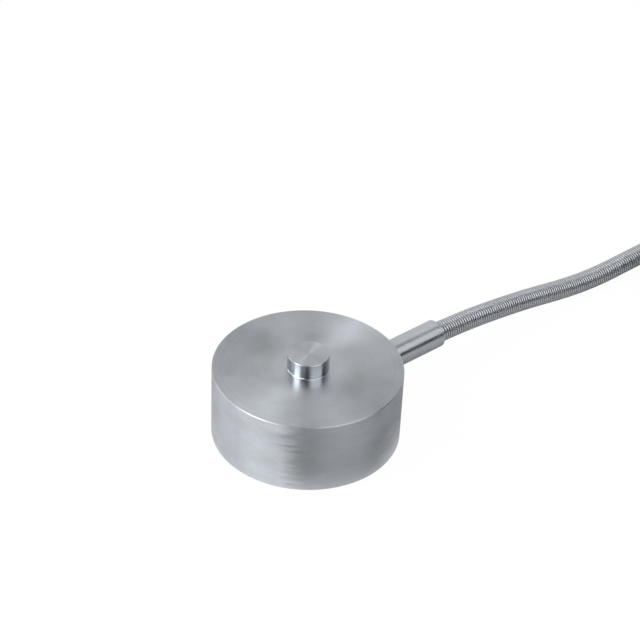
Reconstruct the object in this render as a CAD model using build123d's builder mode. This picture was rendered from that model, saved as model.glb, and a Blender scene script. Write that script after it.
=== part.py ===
from build123d import *
import os
from math import cos, pi, radians, sin, tan

# A compression load cell: a flat round steel body with a load button on top, eight tapped
# holes and a welded sealing disc underneath, and an armoured cable that leaves its side.
# Millimetres. The origin is the centre of the base face, +Z is the load axis and +X runs
# along the cable where it leaves the body.

# Body
body_diameter = 50.0
body_height = 20.6
body_edge_break = 0.2
button_diameter = 11.0
button_height = 4.3
button_edge_break = 0.15
button_root_radius = 0.35

# Measuring diaphragm inside the body
membrane_thickness = 3.0
membrane_corner_radius = 0.8
hub_diameter = 12.0
hub_drop = 5.2
cavity_diameter = 26.0
board_ledge_width = 0.8

# Base: recess, sealing disc and tapped holes
recess_diameter = 33.0
recess_edge_break = 0.2
disc_setback = 0.5
disc_thickness = 0.6
disc_clearance = 0.15
weld_diameter = 27.5
weld_width = 1.4
weld_height = 0.12
base_hole_count = 8
base_hole_circle = 42.5
tap_drill_diameter = 4.2
tap_mouth_diameter = 5.1
tap_depth = 9.0
drill_point_angle = 118.0

# Circuit inside the cavity
gauge_count = 4
gauge_size = 3.2
gauge_thickness = 0.2
gauge_wire_diameter = 0.4
gauge_wire_spacing = 1.6
gauge_wire_bow = 0.9
gauge_wire_bend = 3.0
gauge_wire_knees = (0.2, 0.5, 0.8)
board_thickness = 1.0
board_height = 4.4
board_opening_diameter = 15.0
board_clearance = 0.2
resistor_count = 3
resistor_length = 3.2
resistor_width = 1.6
resistor_thickness = 0.6
pin_diameter = 0.9
pin_above_board = 1.4
pin_below_board = 0.7
pin_hole_clearance = 0.05
pin_circle_radius = 9.6
pin_angles = (-26.0, -10.0, 10.0, 26.0)
core_diameter = 0.9
core_pitch = 1.1
core_straight_length = 1.3
core_knee_drop = 0.9
core_bend = 0.6

# Cable outlet
outlet_height = 10.75
sleeve_diameter = 7.8
sleeve_reach = 21.0
sleeve_bore = 6.0
sleeve_lip_radius = 0.35
collar_seat_depth = 0.5
collar_length = 1.7
collar_edge_radius = 0.45
collar_seat_clearance = 0.1
groove_width = 0.5
groove_depth = 0.55
nose_length = 8.0
nose_clearance = 0.05
spigot_diameter = 6.4
spigot_length = 6.0
spigot_clearance = 0.05
seal_length = 3.0
jacket_diameter = 3.8
jacket_clearance = 0.1
jacket_projection = 0.6

# Armoured hose and what is on its far end
hose_diameter = 5.8
hose_insertion = 8.0
coil_lanes = 3
coil_layers = 4
coil_turns = 9.15
coil_middle_radius = 31.0
coil_centre = (156.7, -38.0)
coil_lead_length = 22.0
coil_lead_overlap = 5.0
coil_looseness = 0.05
coil_corner_radius = 2.0
tie_thickness = 0.6
tie_width = 3.2
tie_head_height = 3.0
tie_head_overhang = 2.0
tie_places = (62.0, 160.0, 240.0)
tail_middle_angle = 22.5
tail_middle_radius = 35.2
tail_bare_length = 3.0
ferrule_diameter = 6.4
ferrule_length = 9.0
ferrule_grip = 4.5
ferrule_edge_break = 0.25
ferrule_seat_gap = 0.02
hose_in_ferrule_clearance = 0.05
cable_end_length = 5.0
notch_clearance = 0.1
notch_angle = 52.0
lead_straight_length = 3.5
lead_middle_angle = -7.0
lead_middle_lift = 0.7
lead_tip_angle = -19.0
lead_tip_lift = 0.57
lead_circle_radius = 35.9
lead_middle_spread = 0.9
tinned_tip_diameter = 0.5
tinned_tip_length = 4.0

# Worked out from the sizes above
body_radius = body_diameter / 2
button_radius = button_diameter / 2
hub_radius = hub_diameter / 2
cavity_radius = cavity_diameter / 2
upper_cavity_radius = cavity_radius - board_ledge_width
recess_radius = recess_diameter / 2
disc_seat_height = disc_setback + disc_thickness
membrane_underside = body_height - membrane_thickness
board_top = board_height + board_thickness
gauge_radius = (hub_radius + upper_cavity_radius) / 2
gauge_underside = membrane_underside - gauge_thickness
port_bore_radius = spigot_diameter / 2 + spigot_clearance
cable_bore_radius = jacket_diameter / 2 + jacket_clearance
collar_seat_radius = body_radius - collar_seat_depth
spigot_end_radius = collar_seat_radius - spigot_length
seal_end_radius = spigot_end_radius - seal_length
collar_end_radius = collar_seat_radius + collar_length
groove_end_radius = collar_end_radius + groove_width
sleeve_end_radius = body_radius + sleeve_reach
jacket_tip_radius = upper_cavity_radius - jacket_projection
hose_start_radius = sleeve_end_radius - hose_insertion
hose_radius = hose_diameter / 2
coil_section_width = coil_lanes * hose_diameter + 2 * coil_looseness
coil_section_height = coil_layers * hose_diameter + 2 * coil_looseness
coil_outer_lane = coil_middle_radius + (coil_lanes - 1) * hose_radius
coil_bottom_axis = tie_thickness + coil_looseness + hose_radius
coil_reach = coil_middle_radius + coil_section_width / 2
coil_top = tie_thickness + coil_section_height
coil_entry = (coil_centre[0] - coil_lead_length, coil_centre[1] + coil_outer_lane)
notch_floor = coil_top - hose_diameter - coil_looseness
tail_axis_height = notch_floor + ferrule_diameter / 2 + ferrule_seat_gap
tail_length = tail_bare_length + ferrule_length + cable_end_length
core_radius = core_diameter / 2

# The route of the free hose, chosen by hand: straight out of the sleeve, down under its own
# weight to the surface that the cell stands on, and up onto the first tie of the coil.
hose_route = [
    (hose_start_radius, 0.0, outlet_height),
    (52.0, 0.0, outlet_height),
    (78.0, 0.0, 7.6),
    (98.0, -0.3, 3.85),
    (111.0, -0.8, 2.95),
    (123.5, coil_entry[1], coil_bottom_axis),
    (coil_entry[0], coil_entry[1], coil_bottom_axis),
]

# Each loose core: its place across the end of the cable and up or down there, in core
# pitches, and how far its tip lies outwards or inwards of the others on top of the coil.
core_ends = {
    "lead_red": (-0.5, -0.5, -3.3),
    "lead_black": (-0.5, 0.5, -0.7),
    "lead_green": (0.5, 0.5, 1.0),
    "lead_white": (0.5, -0.5, 3.0),
}

os.makedirs("parts", exist_ok=True)


def circles_at(piece, radius, height):
    """The circular edges of a turned piece with this radius at this height."""
    rings = piece.edges().filter_by(GeomType.CIRCLE)
    return [
        ring
        for ring in rings
        if abs(ring.radius - radius) < 0.01 and abs(ring.center().Z - height) < 0.01
    ]


def rings_along_x(piece, radius, place):
    """The circular edges of a piece turned about X with this radius at this place."""
    rings = piece.edges().filter_by(GeomType.CIRCLE)
    return [
        ring
        for ring in rings
        if abs(ring.radius - radius) < 0.01 and abs(ring.center().X - place) < 0.01
    ]


def bend_radii(route):
    """The largest arc that the two runs at each corner of a route allow."""
    points = [Vector(*point) for point in route]
    radii = []
    for before, corner, after in zip(points, points[1:], points[2:]):
        run_in = corner - before
        run_out = after - corner
        turn = radians(run_in.get_angle(run_out))
        radii.append(0.45 * min(run_in.length, run_out.length) / tan(turn / 2))
    return radii


def save(piece, name):
    """Name a finished piece and write it."""
    piece.label = name
    export_step(piece, f"parts/{name}.step")


outlet_axis = Plane(origin=(0, 0, outlet_height), x_dir=(0, 1, 0), z_dir=(1, 0, 0))

# Body: one turned and drilled piece. The thin ring between the hub and the wall is the
# diaphragm that bends under load. The ledge inside carries the circuit board.
with BuildPart() as body:
    with BuildSketch(Plane.XZ):
        with BuildLine():
            Polyline(
                (recess_radius, 0),
                (body_radius, 0),
                (body_radius, body_height),
                (button_radius, body_height),
                (button_radius, body_height + button_height),
                (0, body_height + button_height),
                (0, membrane_underside - hub_drop),
                (hub_radius, membrane_underside - hub_drop),
                (hub_radius, membrane_underside),
                (upper_cavity_radius, membrane_underside),
                (upper_cavity_radius, board_top),
                (cavity_radius, board_top),
                (cavity_radius, disc_seat_height),
                (recess_radius, disc_seat_height),
                close=True,
            )
        make_face()
    revolve(axis=Axis.Z)
    fillet(circles_at(body, hub_radius, membrane_underside), membrane_corner_radius)
    fillet(circles_at(body, upper_cavity_radius, membrane_underside), membrane_corner_radius)
    fillet(circles_at(body, button_radius, body_height), button_root_radius)
    chamfer(circles_at(body, button_radius, body_height + button_height), button_edge_break)
    chamfer(circles_at(body, body_radius, body_height), body_edge_break)
    chamfer(circles_at(body, body_radius, 0), body_edge_break)
    chamfer(circles_at(body, recess_radius, 0), recess_edge_break)

    # Tapped holes, as many on each side of the cable, with a countersunk mouth.
    with BuildSketch(Plane.XZ) as tap_profile:
        drill_radius = tap_drill_diameter / 2
        mouth_radius = tap_mouth_diameter / 2
        mouth_depth = mouth_radius - drill_radius
        point_depth = drill_radius / tan(radians(drill_point_angle / 2))
        with BuildLine():
            Polyline(
                (0, 0),
                (mouth_radius, 0),
                (drill_radius, mouth_depth),
                (drill_radius, tap_depth),
                (0, tap_depth + point_depth),
                close=True,
            )
        make_face()
    tap_hole = revolve(tap_profile.sketch, axis=Axis.Z, mode=Mode.PRIVATE)
    first_hole_angle = 180 / base_hole_count
    with PolarLocations(base_hole_circle / 2, base_hole_count, start_angle=first_hole_angle):
        add(tap_hole, mode=Mode.SUBTRACT)

    # Side port: a flat seat for the collar, a bore for the spigot and the cable's own hole.
    with BuildSketch(outlet_axis.offset(collar_seat_radius)):
        Circle(sleeve_diameter / 2 + collar_seat_clearance)
    extrude(amount=body_radius - collar_seat_radius, mode=Mode.SUBTRACT)
    with BuildSketch(outlet_axis.offset(seal_end_radius)):
        Circle(port_bore_radius)
    extrude(amount=collar_seat_radius - seal_end_radius, mode=Mode.SUBTRACT)
    with BuildSketch(outlet_axis.offset(gauge_radius)):
        Circle(cable_bore_radius)
    extrude(amount=seal_end_radius - gauge_radius, mode=Mode.SUBTRACT)
save(body.part, "body")

# Sealing disc: closes the cavity from below and is welded all round to its seat.
with BuildPart() as sealing_disc:
    with BuildSketch(Plane.XY.offset(disc_setback)):
        Circle(recess_radius - disc_clearance)
    extrude(amount=disc_thickness)
    with BuildSketch(Plane.XZ):
        with BuildLine():
            weld_inside = (weld_diameter / 2 - weld_width / 2, disc_setback)
            weld_crest = (weld_diameter / 2, disc_setback - weld_height)
            weld_outside = (weld_diameter / 2 + weld_width / 2, disc_setback)
            ThreePointArc(weld_inside, weld_crest, weld_outside)
            Line(weld_outside, weld_inside)
        make_face()
    revolve(axis=Axis.Z)
save(sealing_disc.part, "sealing_disc")

# Strain gauges, glued under the diaphragm, each with its pair of fine wires to the board.
for number in range(gauge_count):
    gauge_angle = (number + 0.5) * 360 / gauge_count
    radial = Plane.XY.rotated((0, 0, gauge_angle))
    gauge_plane = radial.offset(gauge_underside)
    with BuildPart() as strain_gauge:
        with BuildSketch(gauge_plane):
            with Locations((gauge_radius, 0)):
                Rectangle(gauge_size, gauge_size)
        extrude(amount=gauge_thickness)
    save(strain_gauge.part, f"strain_gauge_{number + 1}")

    upright = Plane(origin=(0, 0, 0), x_dir=radial.x_dir, z_dir=-radial.y_dir)
    wire_drop = gauge_underside - board_top
    lower_knee, bow_height, upper_knee = [board_top + part * wire_drop for part in gauge_wire_knees]
    with BuildPart() as gauge_wires:
        for side in (-1, 1):
            wire_plane = upright.offset(side * gauge_wire_spacing / 2)
            with BuildLine(wire_plane) as wire_path:
                FilletPolyline(
                    (gauge_radius, board_top),
                    (gauge_radius, lower_knee),
                    (gauge_radius + gauge_wire_bow, bow_height),
                    (gauge_radius, upper_knee),
                    (gauge_radius, gauge_underside),
                    radius=gauge_wire_bend,
                )
            with BuildSketch(Plane(wire_path.line @ 0, z_dir=wire_path.line % 0)):
                Circle(gauge_wire_diameter / 2)
            sweep(path=wire_path.line)
    save(gauge_wires.part, f"gauge_wires_{number + 1}")

# Circuit board: a ring that lies against the ledge from below, with holes for its pins.
pin_places = [
    (pin_circle_radius * cos(radians(angle)), pin_circle_radius * sin(radians(angle)))
    for angle in pin_angles
]
with BuildPart() as circuit_board:
    with BuildSketch(Plane.XY.offset(board_height)):
        Circle(cavity_radius - board_clearance)
        Circle(board_opening_diameter / 2, mode=Mode.SUBTRACT)
        with Locations(*pin_places):
            Circle(pin_diameter / 2 + pin_hole_clearance, mode=Mode.SUBTRACT)
    extrude(amount=board_thickness)
save(circuit_board.part, "circuit_board")

# Solder pins, pushed through the board.
with BuildPart() as solder_pins:
    with BuildSketch(Plane.XY.offset(board_height - pin_below_board)):
        with Locations(*pin_places):
            Circle(pin_diameter / 2)
    extrude(amount=pin_below_board + board_thickness + pin_above_board)
save(solder_pins.part, "solder_pins")

# Trimming resistors on the board, away from the cable.
board_middle_radius = (board_opening_diameter / 2 + cavity_radius) / 2
for number in range(resistor_count):
    resistor_angle = (number + 1) * 360 / (resistor_count + 1)
    with BuildPart() as trim_resistor:
        with BuildSketch(Plane.XY.rotated((0, 0, resistor_angle)).offset(board_top)):
            with Locations((board_middle_radius, 0)):
                Rectangle(resistor_width, resistor_length)
        extrude(amount=resistor_thickness)
    save(trim_resistor.part, f"trim_resistor_{number + 1}")

# Signal cable: its jacket runs from the cavity to the start of the hose in the sleeve.
with BuildPart() as signal_cable:
    with BuildSketch(outlet_axis.offset(jacket_tip_radius)):
        Circle(jacket_diameter / 2)
    extrude(amount=hose_start_radius - jacket_tip_radius)
save(signal_cable.part, "signal_cable")

# The four cores, from the end of the jacket down to their solder pins.
pin_top = board_top + pin_above_board
for number, (pin_x, pin_y) in enumerate(pin_places):
    side = -1 if pin_y < 0 else 1
    outer = number in (0, len(pin_places) - 1)
    level = 1 if outer else -1
    core_level = outlet_height + level * core_pitch / 2
    core_start = (jacket_tip_radius, side * core_pitch / 2, core_level)
    core_turn = (jacket_tip_radius - core_straight_length, side * core_pitch / 2, core_level)
    core_knee = (pin_x, pin_y, core_level - core_knee_drop)
    core_end = (pin_x, pin_y, pin_top)
    with BuildPart() as inner_lead:
        with BuildLine() as core_path:
            FilletPolyline(core_start, core_turn, core_knee, core_end, radius=core_bend)
        with BuildSketch(Plane(core_path.line @ 0, z_dir=core_path.line % 0)):
            Circle(core_radius)
        sweep(path=core_path.line)
    save(inner_lead.part, f"inner_lead_{number + 1}")

# Rubber seal round the cable, at the bottom of the port.
with BuildPart() as port_seal:
    with BuildSketch(outlet_axis.offset(seal_end_radius)):
        Circle(port_bore_radius)
        Circle(jacket_diameter / 2, mode=Mode.SUBTRACT)
    extrude(amount=seal_length)
save(port_seal.part, "port_seal")

# Outlet stub: spigot in the port, rounded collar on its seat, groove, and the nose that
# carries the sleeve.
with BuildPart() as outlet_stub:
    with BuildSketch(outlet_axis.offset(spigot_end_radius)):
        Circle(spigot_diameter / 2)
    extrude(amount=spigot_length)
    with BuildSketch(outlet_axis.offset(collar_seat_radius)):
        Circle(sleeve_diameter / 2)
    extrude(amount=collar_length)
    with BuildSketch(outlet_axis.offset(collar_end_radius)):
        Circle(sleeve_diameter / 2 - groove_depth)
    extrude(amount=groove_width)
    with BuildSketch(outlet_axis.offset(groove_end_radius)):
        Circle(sleeve_bore / 2 - nose_clearance)
    extrude(amount=nose_length)
    with BuildSketch(outlet_axis.offset(spigot_end_radius)):
        Circle(cable_bore_radius)
    extrude(amount=groove_end_radius + nose_length - spigot_end_radius, mode=Mode.SUBTRACT)
    fillet(rings_along_x(outlet_stub, sleeve_diameter / 2, collar_end_radius), collar_edge_radius)
save(outlet_stub.part, "outlet_stub")

# Sleeve: a plain tube with softened ends, slid over the nose, that holds the hose.
with BuildPart() as cable_sleeve:
    with BuildSketch(outlet_axis.offset(groove_end_radius)):
        Circle(sleeve_diameter / 2)
        Circle(sleeve_bore / 2, mode=Mode.SUBTRACT)
    extrude(amount=sleeve_end_radius - groove_end_radius)
    fillet(rings_along_x(cable_sleeve, sleeve_diameter / 2, sleeve_end_radius), sleeve_lip_radius)
    fillet(rings_along_x(cable_sleeve, sleeve_diameter / 2, groove_end_radius), sleeve_lip_radius)
save(cable_sleeve.part, "cable_sleeve")


def cord(route, diameter, name):
    """A plain tube along a route of straight runs joined by tangent arcs."""
    radii = bend_radii(route)
    with BuildPart() as tube:
        with BuildLine() as path:
            FilletPolyline(*route, radius=radii)
        centreline = path.wire()
        with BuildSketch(Plane(centreline @ 0, z_dir=centreline % 0)):
            Circle(diameter / 2)
        sweep(path=centreline)
    expected = pi * diameter**2 / 4 * centreline.length
    print(name, "length", round(centreline.length, 2), "bend radii", [round(r) for r in radii])
    print(name, "volume", round(tube.part.volume, 2), "section times length", round(expected, 2))
    return tube


hose_run = cord(hose_route, hose_diameter, "hose_run")
save(hose_run.part, "hose_run")


def round_coil(angle, radius, height):
    """A point at this angle and distance round the coil's centre, at this height."""
    turned = radians(angle)
    return Vector(
        coil_centre[0] + radius * cos(turned), coil_centre[1] + radius * sin(turned), height
    )


def across_coil(angle):
    """The upright plane that cuts the coil at this angle and faces on along its turns."""
    turned = radians(angle)
    return Plane(
        origin=round_coil(angle, 0, tie_thickness),
        x_dir=(cos(turned), sin(turned), 0),
        z_dir=(sin(turned), -cos(turned), 0),
    )


# Coil of the hose, as one closed ring with its incoming end, lying on the ties. The last turn
# stops short, and its place on the top layer is a notch that holds the end of the hose.
coil_axis = Axis(round_coil(0, 0, tie_thickness), (0, 0, -1))
tail_across = across_coil(tail_middle_angle)
tail_start = (
    round_coil(tail_middle_angle, tail_middle_radius, tail_axis_height)
    - tail_across.z_dir * (tail_length / 2)
)
tail_place = Plane(origin=tail_start, x_dir=tail_across.x_dir, z_dir=tail_across.z_dir)
notch_reach = coil_reach + hose_radius
notch_inside = tail_middle_radius - ferrule_diameter / 2 - notch_clearance
with BuildPart() as coil_ring:
    with BuildSketch(across_coil(0)):
        with Locations((coil_middle_radius, coil_section_height / 2)):
            RectangleRounded(coil_section_width, coil_section_height, coil_corner_radius)
    revolve(axis=coil_axis)
with BuildPart() as hose_coil:
    add(coil_ring.part)
    coil_face = Plane(
        origin=(coil_entry[0], coil_entry[1], coil_bottom_axis), x_dir=(0, 1, 0), z_dir=(1, 0, 0)
    )
    with BuildSketch(coil_face):
        Circle(hose_radius)
    extrude(amount=coil_lead_length - coil_lead_overlap)
    with BuildSketch(tail_place):
        with Locations((notch_inside - tail_middle_radius, notch_floor - tail_axis_height)):
            Rectangle(notch_reach, hose_diameter * 2, align=(Align.MIN, Align.MIN))
    extrude(amount=tail_length, mode=Mode.SUBTRACT)
    with BuildSketch(tail_across):
        with Locations((notch_inside, notch_floor - tie_thickness)):
            Rectangle(notch_reach, hose_diameter * 2, align=(Align.MIN, Align.MIN))
    revolve(axis=coil_axis, revolution_arc=notch_angle, mode=Mode.SUBTRACT)
save(hose_coil.part, "hose_coil")
coil_length = coil_lead_length + coil_turns * 2 * pi * coil_middle_radius
print("hose_coil turns", coil_turns, "length wound", round(coil_length))

# Ties: flat straps round the coil, each with its locking head on the outside.
for number, place in enumerate(tie_places):
    strap_reach = coil_reach + tie_thickness
    with BuildPart() as coil_tie:
        with BuildSketch(across_coil(place)):
            with Locations((coil_middle_radius, coil_section_height / 2)):
                RectangleRounded(
                    coil_section_width + 2 * tie_thickness,
                    coil_section_height + 2 * tie_thickness,
                    coil_corner_radius + tie_thickness,
                )
            with Locations((strap_reach + tie_head_overhang / 2, coil_section_height / 2)):
                Rectangle(tie_head_overhang, tie_head_height)
        extrude(amount=tie_width / 2, both=True)
        add(coil_ring.part, mode=Mode.SUBTRACT)
    save(coil_tie.part, f"coil_tie_{number + 1}")

# The last piece of the hose, straight into its ferrule.
hose_end = tail_bare_length + ferrule_grip
with BuildPart() as hose_tail:
    with BuildSketch(tail_place):
        Circle(hose_radius)
    extrude(amount=hose_end)
save(hose_tail.part, "hose_tail")

# Ferrule: crimped over the end of the hose, with the cable passing through it.
with BuildPart() as end_ferrule:
    with BuildSketch(tail_place.offset(tail_bare_length)):
        Circle(ferrule_diameter / 2)
    extrude(amount=ferrule_length)
    ferrule_rims = end_ferrule.edges().filter_by(GeomType.CIRCLE)
    chamfer(ferrule_rims, ferrule_edge_break)
    with BuildSketch(tail_place.offset(tail_bare_length)):
        Circle(hose_radius + hose_in_ferrule_clearance)
    extrude(amount=ferrule_grip, mode=Mode.SUBTRACT)
    with BuildSketch(tail_place.offset(hose_end)):
        Circle(cable_bore_radius)
    extrude(amount=ferrule_length - ferrule_grip, mode=Mode.SUBTRACT)
save(end_ferrule.part, "end_ferrule")

# The stripped end of the signal cable beyond the ferrule.
with BuildPart() as cable_end:
    with BuildSketch(tail_place.offset(hose_end)):
        Circle(jacket_diameter / 2)
    extrude(amount=tail_length - hose_end)
save(cable_end.part, "cable_end")

# Loose cores, fanned out on top of the coil, each with a tinned tip.
for name, (across, up, fan) in core_ends.items():
    first = (
        tail_place.offset(tail_length).origin
        + tail_place.x_dir * (across * core_pitch)
        + Vector(0, 0, up * core_pitch)
    )
    middle_height = notch_floor + lead_middle_lift
    tip_height = notch_floor + lead_tip_lift
    core_route = [
        first,
        first + tail_place.z_dir * lead_straight_length,
        round_coil(lead_middle_angle, lead_circle_radius + lead_middle_spread * fan, middle_height),
        round_coil(lead_tip_angle, lead_circle_radius + fan, tip_height),
    ]
    with BuildPart() as lead:
        with BuildLine() as lead_path:
            FilletPolyline(*core_route, radius=bend_radii(core_route))
        with BuildSketch(Plane(lead_path.line @ 0, z_dir=lead_path.line % 0)):
            Circle(core_radius)
        sweep(path=lead_path.line)
        with BuildSketch(Plane(lead_path.line @ 1, z_dir=lead_path.line % 1)):
            Circle(tinned_tip_diameter / 2)
        extrude(amount=tinned_tip_length)
    save(lead.part, name)
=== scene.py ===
# %% [markdown]
# # A compression load cell with an armoured cable
# The solid model gives every rigid piece at its real size. This file adds what the solids leave
# out: the finish of each surface, the wound wire of the hose, its coil, and the loose wire ends.
# All lengths are in metres, and every piece lies where the solid model has it.

# %% Load the frame
import math

import bmesh
import bpy
import numpy as np
from mathutils import Matrix, Vector


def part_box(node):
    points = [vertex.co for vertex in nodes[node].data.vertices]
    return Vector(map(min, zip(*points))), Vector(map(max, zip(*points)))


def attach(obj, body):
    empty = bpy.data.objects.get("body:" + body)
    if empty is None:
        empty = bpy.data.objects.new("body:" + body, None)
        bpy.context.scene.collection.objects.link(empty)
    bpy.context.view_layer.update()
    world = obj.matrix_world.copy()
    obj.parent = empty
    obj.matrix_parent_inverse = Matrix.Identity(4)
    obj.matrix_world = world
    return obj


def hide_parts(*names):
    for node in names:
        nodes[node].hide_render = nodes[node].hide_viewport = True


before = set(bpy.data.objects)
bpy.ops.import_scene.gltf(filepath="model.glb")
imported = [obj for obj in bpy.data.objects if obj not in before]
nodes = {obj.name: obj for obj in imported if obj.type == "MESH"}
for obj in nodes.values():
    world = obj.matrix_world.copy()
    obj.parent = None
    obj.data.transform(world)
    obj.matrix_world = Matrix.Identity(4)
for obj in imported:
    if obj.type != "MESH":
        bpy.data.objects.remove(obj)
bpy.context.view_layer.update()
mm = 0.001
print("nodes in the frame:", len(nodes))

# %% [markdown]
# ## Camera
# A long lens from a steep angle keeps the round body's top and side both in view. The camera is
# given by its place and by its own three directions, which is exact and needs no target object.

# %% Camera
camera_place = Vector((-0.26228, -0.30001, 0.32835))
camera_forward = Vector((0.53434, 0.60349, -0.59185)).normalized()
camera_up = Vector((0.35738, 0.47323, 0.80519)).normalized()
camera_right = camera_forward.cross(camera_up).normalized()
camera_up = camera_right.cross(camera_forward)

camera_data = bpy.data.cameras.new("camera")
camera_data.lens = 109.25
camera_data.sensor_width = 36.0
camera_data.clip_start = 0.01
camera = bpy.data.objects.new("camera", camera_data)
turn = Matrix((camera_right, camera_up, -camera_forward)).transposed()
camera.matrix_world = Matrix.Translation(camera_place) @ turn.to_4x4()
bpy.context.scene.collection.objects.link(camera)
bpy.context.scene.camera = camera
print("camera is", round(camera_place.length * 1000), "mm from the centre of the base")

# %% [markdown]
# ## The line of the hose
# A hose is one flexible thing of a fixed length, so its line comes before its looks. The line
# leaves the sleeve straight, sinks to the surface under its own weight, and goes on into a neat
# coil of four layers: three lanes inwards, a climb at the inner lane, three lanes outwards, and so
# on. Its last piece lies straight on top of the coil. A NURBS spline makes it smooth, with
# listed points where the hose lies free and points worked out by a loop where it is wound.

# %% Points of the hose line
hose_diameter = 5.8 * mm
outlet_height = 10.75 * mm
tie_thickness = 0.6 * mm
coil_looseness = 0.05 * mm
coil_centre = Vector((156.7, -38.0, 0)) * mm
coil_outer_lane = 36.8 * mm
coil_inner_lane = 25.2 * mm
turns_on_a_layer = 2.0
turns_to_climb = 0.5
full_turns = 9
points_per_turn = 24
coil_bottom_axis = tie_thickness + coil_looseness + hose_diameter / 2

route_out = [
    (38.0, 0.0, 10.75),
    (52.0, 0.0, 10.75),
    (78.0, 0.0, 7.6),
    (98.0, -0.3, 3.85),
    (111.0, -0.8, 2.95),
    (123.5, -1.2, 3.55),
    (134.7, -1.2, 3.55),
]


def round_coil(angle, radius, height):
    """A point at this angle in degrees and distance round the coil's centre."""
    turned = math.radians(angle)
    return coil_centre + Vector((radius * math.cos(turned), radius * math.sin(turned), height))


def coil_point(turns):
    """A point of the coil's line, this many turns after the hose meets it."""
    layer, place = divmod(turns, turns_on_a_layer + turns_to_climb)
    lanes_crossed = min(place, turns_on_a_layer) * hose_diameter
    climb = max(0.0, place - turns_on_a_layer) / turns_to_climb
    radius = coil_outer_lane - lanes_crossed
    if layer % 2 == 1:
        radius = coil_inner_lane + lanes_crossed
    height = coil_bottom_axis + (layer + climb) * hose_diameter
    return round_coil(90 - turns * 360, radius / math.cos(math.pi / points_per_turn), height)


# %% The straight last piece of the hose, on top of the coil
tail_middle_angle = 22.5
tail_middle_radius = 35.2 * mm
tail_length = 17.0 * mm
hose_in_tail = 7.5 * mm
notch_floor = 18.05 * mm
tail_axis_height = 21.27 * mm
tail_turned = math.radians(tail_middle_angle)
tail_side = Vector((math.cos(tail_turned), math.sin(tail_turned), 0.0))
tail_along = Vector((math.sin(tail_turned), -math.cos(tail_turned), 0.0))
tail_start = round_coil(tail_middle_angle, tail_middle_radius, tail_axis_height)
tail_start -= tail_along * tail_length / 2

coil_steps = full_turns * points_per_turn
hose_points = [Vector(point) * mm for point in route_out]
hose_points += [coil_point(step / points_per_turn) for step in range(coil_steps + 1)]
hose_points += [
    round_coil(75, 34.7 * mm, 21.05 * mm),
    round_coil(60, 35.7 * mm, 21.2 * mm),
    round_coil(47, 36.75 * mm, tail_axis_height),
    tail_start - tail_along * 1.0 * mm,
    tail_start + tail_along * 3.0 * mm,
    tail_start + tail_along * hose_in_tail,
]
print("points on the hose line:", len(hose_points))


# %% Draw a smooth line through a route
def smooth_line(name, points, radius=0.0):
    """A curve object on these control points, round and filled if it is given a radius."""
    curve = bpy.data.curves.new(name, "CURVE")
    curve.dimensions = "3D"
    curve.resolution_u = 12
    spline = curve.splines.new("NURBS")
    spline.points.add(len(points) - 1)
    for place, point in zip(spline.points, points):
        place.co = (*point, 1.0)
    spline.order_u = 3
    spline.use_endpoint_u = True
    curve.bevel_depth = radius
    curve.bevel_resolution = 5
    curve.use_fill_caps = True
    line = bpy.data.objects.new(name, curve)
    bpy.context.scene.collection.objects.link(line)
    return line


def line_points(line):
    """The points of a curve that has no thickness, as Blender draws it."""
    mesh = bpy.data.meshes.new_from_object(line)
    points = np.array([vertex.co[:] for vertex in mesh.vertices])
    bpy.data.meshes.remove(mesh)
    return points


hose_line = smooth_line("hose_line", hose_points)
hose_path = line_points(hose_line)
bpy.data.objects.remove(hose_line)
step_lengths = np.linalg.norm(np.diff(hose_path, axis=0), axis=1)
hose_travel = np.concatenate([[0.0], np.cumsum(step_lengths)])
hose_length = float(hose_travel[-1])
print("length of the hose:", round(hose_length, 3), "m")

# %% [markdown]
# ## The wound wire of the hose
# The armour is one round wire wound so close that each turn touches the next. A grid stands for
# the wire's outer half, unrolled: its long side runs along the wire and its short side round it.
# The grid is then wound round the line. Neighbouring turns share their edge, so merging doubles
# makes one skin of them. Close to the eye the hose gets more facets than in the coil.


# %% Frames along the line
def carried_frames(points):
    """Two sideways directions at each point, carried along the line without twisting."""
    along = np.gradient(points, axis=0)
    along /= np.linalg.norm(along, axis=1)[:, None]
    side = np.zeros_like(points)
    side[0] = (0.0, 0.0, 1.0)
    side[0] -= along[0] * side[0].dot(along[0])
    side[0] /= np.linalg.norm(side[0])
    for index in range(1, len(points)):
        carried = side[index - 1] - along[index] * side[index - 1].dot(along[index])
        side[index] = carried / np.linalg.norm(carried)
    return side, np.cross(along, side)


hose_side, hose_other = carried_frames(hose_path)


def on_hose(travel, table):
    """Values of a table of the hose line, read at these lengths along it."""
    return np.stack([np.interp(travel, hose_travel, table[:, axis]) for axis in range(3)], axis=1)


# %% Wind the wire
wire_pitch = 0.835 * mm
wire_radius = wire_pitch / 2
wire_circle = hose_diameter / 2 - wire_radius
merge_distance = 0.004 * mm


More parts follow.
